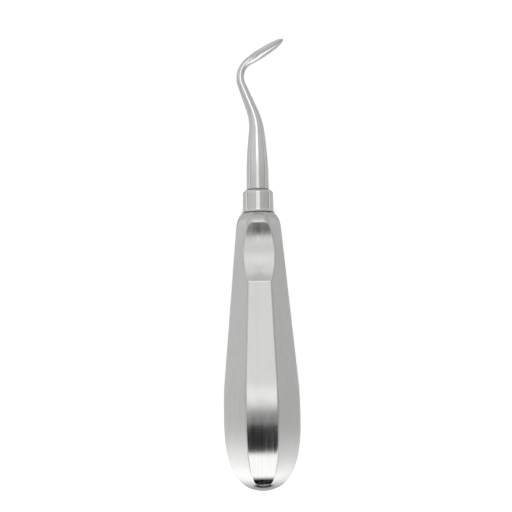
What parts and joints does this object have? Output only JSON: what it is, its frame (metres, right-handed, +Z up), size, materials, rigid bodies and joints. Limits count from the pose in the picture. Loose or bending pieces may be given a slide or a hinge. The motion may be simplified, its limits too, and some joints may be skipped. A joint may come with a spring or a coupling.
{
  "type": "dental elevator",
  "caption": "Dental root elevator with a bent, tapering shank, a spoon-shaped blade, and a pear-shaped steel handle with ground flats and a thumb rest.",
  "frame": {"origin": "centre of the bounding box's base, on the plane that the flat of the handle's back rests on", "axes": "+Y along the tool towards the blade, +Z up, on the thumb rest's side, +X to the side that the blade points to"},
  "size_m": [0.0266, 0.1604, 0.0276],
  "materials": {
    "satin_steel": "stainless steel, fine satin on the side flats, brushed lengthwise on the front flat and in the thumb rest",
    "polished_steel": "stainless steel, mirror polished",
    "hard_solder": "silver solder, dull"
  },
  "bodies": {
    "root": {"handle_front_shell": "satin_steel", "handle_back_shell": "satin_steel", "neck_collar": "polished_steel", "solder_ring": "hard_solder", "blade_and_shank": "polished_steel"}
  },
  "joints": []
}
